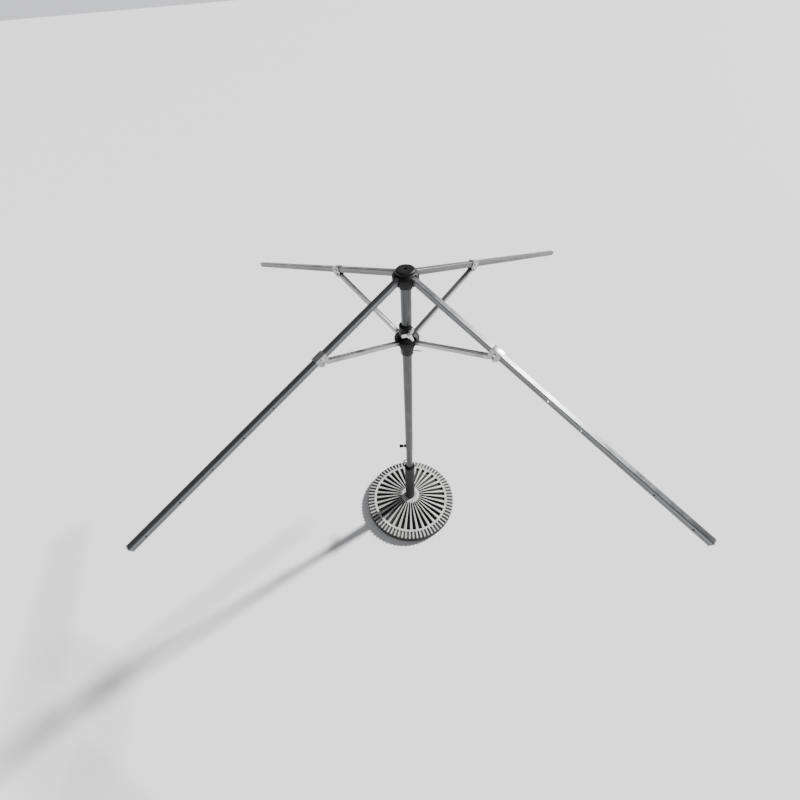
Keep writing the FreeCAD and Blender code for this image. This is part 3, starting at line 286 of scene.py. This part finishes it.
# %% [markdown]
# ## Drawn metal
# A tube is pulled through a die, which leaves hair-fine lines along it. Lines are a noise stretched a hundred
# times along the tube. So the pattern has to be turned to lie along each arm: the Mapping node undoes the
# arm's heading and droop before the stretch. Patches of dull oxide lie over the lines.

# %% Drawn tubes
def drawn_metal(name, dark, light, rough_low, rough_high, heading=0.0, droop=0.0, oxide=(0.16, 0.16, 0.165)):
    """Metal with fine lines along its own length; a heading of None stands for an upright tube."""
    material = new_material(name, 0.35, metallic=1.0)
    stretch = (1, 1, 0.012) if heading is None else (0.012, 1, 1)
    place = add_node(material, "ShaderNodeTexCoord").outputs["Object"]
    if heading is not None:
        level = add_node(material, "ShaderNodeMapping", {"Rotation": (0, 0, -heading)})
        join(material, place, level.inputs["Vector"])
        tilt = add_node(material, "ShaderNodeMapping", {"Rotation": (0, -droop, 0)})
        join(material, level.outputs["Vector"], tilt.inputs["Vector"])
        place = tilt.outputs["Vector"]
    along = add_node(material, "ShaderNodeMapping", {"Scale": stretch})
    join(material, place, along.inputs["Vector"])
    lines = noise(material, along.outputs["Vector"], 900.0, 4.0, 0.6)
    bands = noise(material, along.outputs["Vector"], 160.0, 3.0, 0.5)
    patches = noise(material, place, 22.0, 6.0, 0.62)
    bare = mix_colour(material, 0.45, ramp(material, lines, dark, light), ramp(material, bands, dark, light))
    dulled = spread(material, patches, 0.0, 0.65, 0.52, 0.72)
    dull = ramp(material, lines, tuple(0.8 * part for part in oxide), oxide)
    colour = mix_colour(material, dulled, bare, dull)
    rough = spread(material, patches, rough_low, rough_high, 0.35, 0.7)
    relief = bump(material, lines, 0.00003, 0.5)
    relief = bump(material, patches, 0.00008, 0.3, relief)
    return dress(material, colour, rough, relief)


mast_metal = drawn_metal("mast_tube_metal", (0.055, 0.056, 0.058), (0.11, 0.111, 0.114), 0.30, 0.46, heading=None)
arm_metal = {k: drawn_metal(f"arm_{k}_metal", (0.10, 0.101, 0.104), (0.20, 0.202, 0.205), 0.28, 0.44,
                            azimuth_of(k), arm_droop) for k in ARMS}
strut_slope = math.atan2(strut_bolt.z - (collar_low.z + collar_high.z) / 2, strut_bolt.x - arm_pivot.x)
strut_metal = {k: drawn_metal(f"strut_{k}_metal", (0.26, 0.262, 0.265), (0.42, 0.422, 0.425), 0.26, 0.40,
                              azimuth_of(k), -strut_slope) for k in ARMS}
print(2 * len(ARMS) + 1, "drawn metals")

# %% [markdown]
# ## Stand plastic with painted groove shade
# The stand's pale plastic has stood outdoors: its tone drifts and it carries fine speckles. The grooves get a
# near-black painted shade, so the shade has to know how deep a point lies. The shell's surface is a cone, so a
# point's height below that cone is worked out from its distance to the mast, and the painted shade is blended in
# by that depth.

# %% Stand plastic
def maths(material, operation, first, second=0.0, third=0.0):
    """One step of arithmetic on sockets or numbers."""
    node = add_node(material, "ShaderNodeMath", operation=operation)
    for index, value in enumerate((first, second, third)):
        if isinstance(value, (int, float)):
            node.inputs[index].default_value = value
        else:
            join(material, value, node.inputs[index])
    return node.outputs["Value"]


def shaded_groove_shell(name, ring_in, ring_out, ring_height, cone_slope, rim_slope):
    material = new_material(name, 0.55, specular=0.4)
    place = object_place(material)
    parts = add_node(material, "ShaderNodeSeparateXYZ")
    join(material, place, parts.inputs["Vector"])
    across, ahead, height = parts.outputs["X"], parts.outputs["Y"], parts.outputs["Z"]
    square = maths(material, "MULTIPLY_ADD", across, across, maths(material, "MULTIPLY", ahead, ahead))
    radius = maths(material, "SQRT", square)
    cone = maths(material, "MAXIMUM", maths(material, "SUBTRACT", ring_in, radius), 0.0)
    rim = maths(material, "MAXIMUM", maths(material, "SUBTRACT", radius, ring_out), 0.0)
    surface = maths(material, "MULTIPLY_ADD", cone, cone_slope, ring_height)
    surface = maths(material, "SUBTRACT", surface, maths(material, "MULTIPLY", rim, rim_slope))
    depth = maths(material, "SUBTRACT", surface, height)
    drift = noise(material, place, 14.0, 6.0, 0.6)
    speckle = noise(material, place, 260.0, 4.0, 0.7)
    unshaded_colour = mix_colour(material, 0.3, ramp(material, drift, (0.40, 0.40, 0.39), (0.56, 0.56, 0.55)),
                       ramp(material, speckle, (0.34, 0.34, 0.33), (0.56, 0.56, 0.55), 0.3, 0.6))
    # painted shade: a near-black colour laid into the grooves by their depth, standing for the shade that falls in
    # them
    groove_shade_colour = ramp(material, speckle, (0.012, 0.012, 0.011), (0.05, 0.05, 0.046))
    wavy = maths(material, "MULTIPLY_ADD", drift, 0.003, depth)
    groove_shade_mask = spread(material, wavy, 0.0, 1.0, 0.0028, 0.0065)
    colour = mix_colour(material, groove_shade_mask, unshaded_colour, groove_shade_colour)
    rough = maths(material, "MULTIPLY_ADD", groove_shade_mask, 0.3, spread(material, drift, 0.42, 0.62))
    grain = noise(material, place, 1100.0, 2.0)
    relief = bump(material, grain, 0.00008, 0.5)
    relief = bump(material, speckle, 0.0002, 0.3, relief)
    return dress(material, colour, rough, relief)


FLAT_RING = {"ring_in": 0.203, "ring_out": 0.213, "ring_height": 0.046}
CONE_SLOPE, RIM_SLOPE = 0.201, 0.127
# the stand's plastic, with painted shade in its grooves
base_plastic = shaded_groove_shell("stand_plastic", **FLAT_RING, cone_slope=CONE_SLOPE, rim_slope=RIM_SLOPE)

# %% [markdown]
# ## Small fittings
# Bolts and rivets are zinc plated. Zinc freezes in small crystals, so a cell pattern gives each crystal its own
# grey. The threaded insert is brass and the ballast is plain concrete. The eye screw and the socket tube get
# near-black coats that are painted shade, standing for the shade on them; both carry a few small chips.

# %% Fittings
def crystal_metal(name, dark, light, cell, rough_low, rough_high):
    material = new_material(name, 0.4, metallic=1.0)
    place = object_place(material)
    cells = add_node(material, "ShaderNodeTexVoronoi", {"Scale": 1 / cell})
    join(material, place, cells.inputs["Vector"])
    grey = add_node(material, "ShaderNodeSeparateColor")
    join(material, cells.outputs["Color"], grey.inputs["Color"])
    worn = noise(material, place, 300.0, 4.0, 0.65)
    colour = mix_colour(material, 0.4, ramp(material, grey.outputs["Red"], dark, light, 0.1, 0.9),
                        ramp(material, worn, dark, light))
    rough = spread(material, worn, rough_low, rough_high)
    relief = bump(material, worn, 0.00006, 0.5)
    return dress(material, colour, rough, relief)


def speckled_coat(name, dark, light, gloss, chip_colour, chip_from=0.66, metallic=0.0):
    """Paint or cement: two tones, a fine relief, and small chips or stones."""
    material = new_material(name, gloss, metallic=metallic)
    place = object_place(material)
    drift = noise(material, place, 30.0, 6.0, 0.6)
    fine = noise(material, place, 700.0, 3.0, 0.6)
    chips = spread(material, noise(material, place, 210.0, 6.0, 0.72), 0.0, 1.0, chip_from, chip_from + 0.03)
    base = mix_colour(material, 0.35, ramp(material, drift, dark, light), ramp(material, fine, dark, light))
    chip = ramp(material, fine, tuple(0.7 * part for part in chip_colour), chip_colour)
    colour = mix_colour(material, chips, base, chip)
    rough = maths(material, "MULTIPLY_ADD", chips, 0.2, spread(material, drift, gloss - 0.07, gloss + 0.1))
    relief = bump(material, fine, 0.00006, 0.5)
    relief = bump(material, chips, 0.00012, -0.4, relief)
    return dress(material, colour, rough, relief)


zinc = crystal_metal("zinc_plate", (0.46, 0.46, 0.455), (0.72, 0.72, 0.71), 0.0022, 0.28, 0.45)
brass = crystal_metal("brass_insert", (0.42, 0.31, 0.13), (0.66, 0.50, 0.23), 0.0012, 0.26, 0.42)
# painted shade: the eye screw and the socket tube are coloured near black to stand for the shade that falls on
# them
eye_shade_coat = speckled_coat("eye_shade_black", (0.016, 0.016, 0.018), (0.036, 0.036, 0.038), 0.40, (0.20, 0.19, 0.18))
socket_paint = speckled_coat("socket_paint", (0.016, 0.0165, 0.018), (0.032, 0.0325, 0.034), 0.46,
                             (0.10, 0.09, 0.08), 0.70)
concrete = speckled_coat("ballast_concrete", (0.30, 0.295, 0.28), (0.44, 0.435, 0.415), 0.85,
                         (0.22, 0.21, 0.20), 0.6)
# the two painted-shade coats also reflect less
for dark_shade_coat in [eye_shade_coat, socket_paint]:
    shader_of(dark_shade_coat).inputs["Specular IOR Level"].default_value = 0.2
print("6 stand and fitting finishes")

# %% Give the CAD nodes their finishes
def coat(node, material):
    """Put one finish on a CAD node."""
    slots = frame["nodes"][node].material_slots
    for slot in slots:
        slot.material = material


for node in frame["nodes"]:
    coat(node, grey_plastic)
for node in ["socket_top_bush", "socket_bottom_bush", "top_hub", "collar_body", "mast_clamp_knob"]:
    coat(node, black_plastic)
for k in ARMS:
    coat(f"arm_tube_{k}", arm_metal[k])
    coat(f"strut_{k}", strut_metal[k])
    coat(f"arm_saddle_{k}", strut_metal[k])
    for node in [f"saddle_rivet_{k}", f"strut_bolt_{k}", f"strut_pin_{k}"]:
        coat(node, zinc)
for node in ["lower_mast_tube", "upper_mast_tube", "mast_clamp_boss"]:
    coat(node, mast_metal)
for node in ["hub_screw", "hub_pins", "star_knob_screw", "catch_pin", "mast_clamp_screw"]:
    coat(node, zinc)
# the socket tube and its boss wear the painted-shade coat
for node in ["socket_tube", "socket_boss"]:
    coat(node, socket_paint)
coat("star_knob", white_plastic)
coat("base_feet", rubber)
coat("base_ballast", concrete)
coat("base_shell", base_plastic)
coat("collar_insert", brass)
coat("eye_screw", eye_shade_coat)

# %% [markdown]
# ## From a mesh to a piece
# Each new piece goes through the same last steps: merge points that share a place, turn the faces outward,
# smooth the shading except across real edges, and ride on the body that the CAD piece rode on.
# A rounded outline is written as its corners, each with how far the rounding reaches along its sides.

# %% Piece helpers
def finish_piece(shape, name, material, replaced, sharp=35, extra_finishes=()):
    """Turn a bmesh into a piece that stands for CAD nodes and rides where they ride."""
    bmesh.ops.remove_doubles(shape, verts=shape.verts, dist=0.000005)
    bmesh.ops.recalc_face_normals(shape, faces=shape.faces)
    data = bpy.data.meshes.new(name)
    shape.to_mesh(data)
    shape.free()
    data.shade_smooth()
    data.set_sharp_from_angle(angle=math.radians(sharp))
    piece = bpy.data.objects.new(name, data)
    bpy.context.scene.collection.objects.link(piece)
    for finish in (material, *extra_finishes):
        data.materials.append(finish)
    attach(piece, BODY_OF[replaced[0]])
    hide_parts(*replaced)
    print(name, len(data.polygons), "faces")
    return piece


def rounded(corners, steps=4, closed=False):
    """Points of an outline, from (across, up, softness) corners in millimetres."""
    points = []
    count = len(corners)
    for index, (across, up, soft) in enumerate(corners):
        corner = Vector((across, up)) * MM
        open_end = not closed and index in (0, count - 1)
        if soft == 0 or open_end:
            points.append(corner)
            continue
        before = Vector(corners[index - 1][:2]) * MM
        after = Vector(corners[(index + 1) % count][:2]) * MM
        start = corner + (before - corner).normalized() * soft * MM
        end = corner + (after - corner).normalized() * soft * MM
        for step in range(steps + 1):
            part = step / steps
            points.append(start * (1 - part) ** 2 + corner * 2 * part * (1 - part) + end * part ** 2)
    return points


def lathe(outline, steps=72, closed=False, sweep=2 * math.pi):
    """Spin an outline of (radius, height) points about the Z axis."""
    shape = bmesh.new()
    points = [shape.verts.new((point.x, 0, point.y)) for point in outline]
    edges = [shape.edges.new(pair) for pair in zip(points, points[1:])]
    if closed:
        edges.append(shape.edges.new((points[-1], points[0])))
    full = sweep == 2 * math.pi
    bmesh.ops.spin(shape, geom=points + edges, cent=(0, 0, 0), axis=(0, 0, 1), dvec=(0, 0, 0),
                   angle=sweep, steps=steps, use_merge=full, use_duplicate=False)
    bmesh.ops.remove_doubles(shape, verts=shape.verts, dist=0.000005)
    return shape


def slab(outline, low, high):
    """A flat outline of (x, y) points raised from one height to another, both in millimetres."""
    shape = bmesh.new()
    face = shape.faces.new([shape.verts.new((point.x, point.y, low * MM)) for point in outline])
    raised = bmesh.ops.extrude_face_region(shape, geom=[face])
    lifted = [item for item in raised["geom"] if isinstance(item, bmesh.types.BMVert)]
    bmesh.ops.translate(shape, vec=(0, 0, (high - low) * MM), verts=lifted)
    bmesh.ops.recalc_face_normals(shape, faces=shape.faces)
    return shape


def soften(shape, edges, width, segments=2):
    """Round edges by a width in millimetres."""
    bmesh.ops.bevel(shape, geom=edges, offset=width * MM, offset_type="OFFSET", segments=segments,
                    profile=0.5, affect="EDGES", clamp_overlap=True, material=-1)


def level_edges(shape):
    """Edges between a flat end and a side wall."""
    ends = [face for face in shape.faces if abs(face.normal.z) > 0.99]
    return list({edge for face in ends for edge in face.edges
                 if any(abs(side.normal.z) < 0.5 for side in edge.link_faces)})


def absorb(shape, other):
    """Add another bmesh to this one, as a closed part of the same piece."""
    spare = bpy.data.meshes.new("spare")
    other.to_mesh(spare)
    other.free()
    shape.from_mesh(spare)
    bpy.data.meshes.remove(spare)
    return shape


def set_down(shape, place):
    """Move a bmesh that was built at the origin to its place on the clothesline."""
    bmesh.ops.transform(shape, matrix=place, verts=shape.verts)
    return shape


# %% [markdown]
# ## Softened copies
# No moulded or pressed edge is perfectly sharp: a radius of half a millimetre catches a thin line of light, and
# that line is what makes an edge look real. The hub, the collar and the sheet saddles already have the right
# shape in CAD, so a copy is merged, its flat triangles are joined into faces, and its sharp edges are bevelled.

# %% Softened copies
def softened(node, width, material, segments=2, corner=32, name=None):
    """A copy of a CAD node with its sharp edges rounded by a width in millimetres."""
    shape = bmesh.new()
    shape.from_mesh(frame["nodes"][node].data)
    bmesh.ops.remove_doubles(shape, verts=shape.verts, dist=0.000005)
    bmesh.ops.dissolve_limit(shape, angle_limit=math.radians(1), use_dissolve_boundaries=False,
                             verts=shape.verts, edges=shape.edges, delimit={"NORMAL"})
    sharp = [edge for edge in shape.edges
             if len(edge.link_faces) == 2 and edge.calc_face_angle(0) > math.radians(corner)]
    soften(shape, sharp, width, segments)
    return finish_piece(shape, name or "soft_" + node, material, [node], sharp=40)


softened("top_hub", 0.7, black_plastic, name="hub_moulding")
softened("collar_body", 0.7, black_plastic, name="collar_moulding")
softened("socket_top_bush", 0.8, black_plastic, name="bush_moulding")
for k in ARMS:
    softened(f"arm_saddle_{k}", 0.35, strut_metal[k], name=f"saddle_sheet_{k}")
    softened(f"strut_{k}", 0.35, strut_metal[k], name=f"strut_channel_{k}")

# %% [markdown]
# ## The ribbed stand
# The stand's shell is a shallow moulded cone. Thirty-six long grooves leave rounded ribs standing between them,
# then comes a flat ring, and then a rim with seventy-two short notches. It repeats every ten degrees, so only one
# slice is shaped: an outline is spun through ten degrees, the points inside a groove are pressed down, and the
# slice is copied round. Pressing points, rather than cutting boxes, gives the grooves soft shoulders.

# %% The stand's sizes
shell_low, shell_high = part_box("base_shell")
SHELL_RADIUS = shell_high.x / MM
CONE_TOP = shell_high.z / MM
SLICES = 36
SOCKET_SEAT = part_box("socket_tube")[1].x / MM + 0.04
RING_IN, RING_OUT, RING_HEIGHT = 203.0, 213.0, 46.0
CONE_FOOT = 44.0
RIM_TOP, RIM_FOOT, RIM_WALL = 41.0, 4.0, 5.0
LONG_GROOVE = {"start": 54.0, "end": 202.0, "half": math.radians(2.8), "deep": 12.0, "soft": 2.6}
SHORT_GROOVE = {"start": 214.0, "end": 257.0, "half": math.radians(1.5), "deep": 5.0, "soft": 1.6}


def ease(value):
    """A smooth step from 0 to 1."""
    held = min(max(value, 0.0), 1.0)
    return held * held * (3 - 2 * held)


def pressed(groove, radius, angle):
    """How deep a groove is at a place on the shell, all in millimetres."""
    inside = (groove["half"] - abs(angle)) * radius
    along = min(radius - groove["start"], groove["end"] - radius)
    reach = min(inside, along * 0.8)
    return groove["deep"] * ease(0.5 + reach / groove["soft"])


def steps_between(start, end, count):
    """Evenly spaced corners on a straight run, without its first."""
    first, last = Vector(start), Vector(end)
    return [(*(first.lerp(last, step / count)), 0) for step in range(1, count + 1)]


# %% Shape one slice and copy it round
underside = CONE_TOP - 16.0
shell_outline = [
    (SOCKET_SEAT, CONE_TOP, 0), (CONE_FOOT, CONE_TOP, 3),
    *steps_between((CONE_FOOT + 4, CONE_TOP - 1), (RING_IN, RING_HEIGHT), 44),
    *steps_between((RING_IN, RING_HEIGHT), (RING_OUT, RING_HEIGHT), 5),
    *steps_between((RING_OUT, RING_HEIGHT), (244, RIM_TOP + 1.05), 20),
    (SHELL_RADIUS, RIM_TOP, 6), (SHELL_RADIUS, RIM_FOOT, 1.5), (SHELL_RADIUS - RIM_WALL, RIM_FOOT, 1),
    (SHELL_RADIUS - RIM_WALL, RIM_TOP - 16, 0), (RING_OUT, RING_HEIGHT - 16, 0),
    (RING_IN, RING_HEIGHT - 16, 0), (CONE_FOOT, underside, 0), (SOCKET_SEAT, underside, 0),
]
slice_angle = 2 * math.pi / SLICES
shell = lathe(rounded(shell_outline, closed=True), steps=20, closed=True, sweep=slice_angle)
bmesh.ops.rotate(shell, cent=(0, 0, 0), matrix=Matrix.Rotation(-slice_angle / 2, 3, "Z"), verts=shell.verts)
skin = [vert for vert in shell.verts if vert.co.z / MM > RIM_TOP - 14 and vert.normal is not None]
for vert in skin:
    radius = math.hypot(vert.co.x, vert.co.y) / MM
    angle = math.atan2(vert.co.y, vert.co.x)
    surface = RING_HEIGHT + (RING_IN - radius) * (CONE_TOP - RING_HEIGHT) / (RING_IN - CONE_FOOT)
    if vert.co.z / MM < min(surface, RING_HEIGHT + 40) - 8:
        continue
    to_edge = slice_angle / 2 - abs(angle)
    deep = pressed(LONG_GROOVE, radius, angle)
    deep = max(deep, pressed(SHORT_GROOVE, radius, angle), pressed(SHORT_GROOVE, radius, to_edge))
    vert.co.z -= deep * MM
one_slice = shell.verts[:] + shell.edges[:] + shell.faces[:]
for number in range(1, SLICES):
    copied = bmesh.ops.duplicate(shell, geom=one_slice)["geom"]
    bmesh.ops.rotate(shell, cent=(0, 0, 0), matrix=Matrix.Rotation(number * slice_angle, 3, "Z"),
                     verts=[item for item in copied if isinstance(item, bmesh.types.BMVert)])
finish_piece(shell, "shell_moulding", base_plastic, ["base_shell"], sharp=60)


# %% [markdown]
# ## Knobs, caps and the eye
# A hand touches these, so they are well rounded. The white star knob clamps the collar to the mast, and the small
# black thumb knob clamps the two mast tubes together. They are softened copies too, with wider roundings.

# %% Hand fittings and plugs
softened("star_knob", 1.1, white_plastic, 3, name="star_knob_moulding")
softened("mast_clamp_knob", 0.6, black_plastic, 3, name="thumb_knob_moulding")
softened("eye_screw", 0.3, eye_shade_coat, name="eye_forging")
softened("hub_screw", 0.4, zinc, name="hub_screw_head")
softened("socket_boss", 0.5, socket_paint, name="socket_boss_weld")
softened("mast_clamp_boss", 0.5, mast_metal, name="mast_boss_weld")
softened("base_feet", 0.8, rubber, name="foot_pads")
for k in ARMS:
    softened(f"arm_cap_{k}", 0.9, grey_plastic, 3, name=f"arm_plug_{k}")

# %% [markdown]
# ## Rivets and bolts
# A rivet holds each sheet saddle to its arm: a plain shank with a domed head pressed on both ends. The strut turns
# on a bolt below it, with a six-sided head on one side and a lock nut on the other, each on a round washer. Both
# are spun or raised at the origin, along Z, and then laid across the arm.

# %% Rivets and strut bolts
def across_arm(node, number):
    """A place at the middle of a node whose own Z axis runs across the arm."""
    low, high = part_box(node)
    turn = Matrix.Rotation(azimuth_of(number), 4, "Z") @ Matrix.Rotation(-math.pi / 2, 4, "X")
    return Matrix.Translation((low + high) / 2) @ turn


saddle_low, saddle_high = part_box("arm_saddle_1")
SEAT = (saddle_high.y - saddle_low.y) / 2 / MM
rivet_low, rivet_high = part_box("saddle_rivet_1")
RIVET_END = rivet_high.y / MM
RIVET_HEAD = (rivet_high.z - rivet_low.z) / 2 / MM
SHANK = 2.4
WASHER = 0.9


def mirrored(half):
    """A half outline, from its end to its middle, with the other half added."""
    return half + [(across, -up, soft) for across, up, soft in reversed(half)]


def hexagon(size):
    return [Vector((math.cos(math.radians(60 * side)), math.sin(math.radians(60 * side)))) * size * MM
            for side in range(6)]


rivet_outline = mirrored([(0, -RIVET_END, 0), (RIVET_HEAD * 0.7, -RIVET_END + 0.3, 1.6),
                          (RIVET_HEAD, -RIVET_END + 2.2, 1.0), (RIVET_HEAD, -SEAT, 0.2), (SHANK, -SEAT, 0)])
bolt_outline = mirrored([(0, -RIVET_END + 0.6, 0), (SHANK, -RIVET_END + 0.6, 0.5), (SHANK, -SEAT - WASHER, 0),
                         (RIVET_HEAD - 0.1, -SEAT - WASHER, 0.2), (RIVET_HEAD - 0.1, -SEAT, 0.2),
                         (SHANK, -SEAT, 0)])
for k in ARMS:
    rivet = set_down(lathe(rounded(rivet_outline), steps=32), across_arm(f"saddle_rivet_{k}", k))
    finish_piece(rivet, f"domed_rivet_{k}", zinc, [f"saddle_rivet_{k}"])
    bolt = lathe(rounded(bolt_outline), steps=32)
    for low, high in [(-RIVET_END, -SEAT - WASHER), (SEAT + WASHER, RIVET_END)]:
        nut = slab(hexagon(RIVET_HEAD - 0.2), low, high)
        nut.normal_update()
        soften(nut, level_edges(nut), 0.4)
        absorb(bolt, nut)
    finish_piece(set_down(bolt, across_arm(f"strut_bolt_{k}", k)), f"hex_bolt_{k}", zinc,
                 [f"strut_bolt_{k}"])
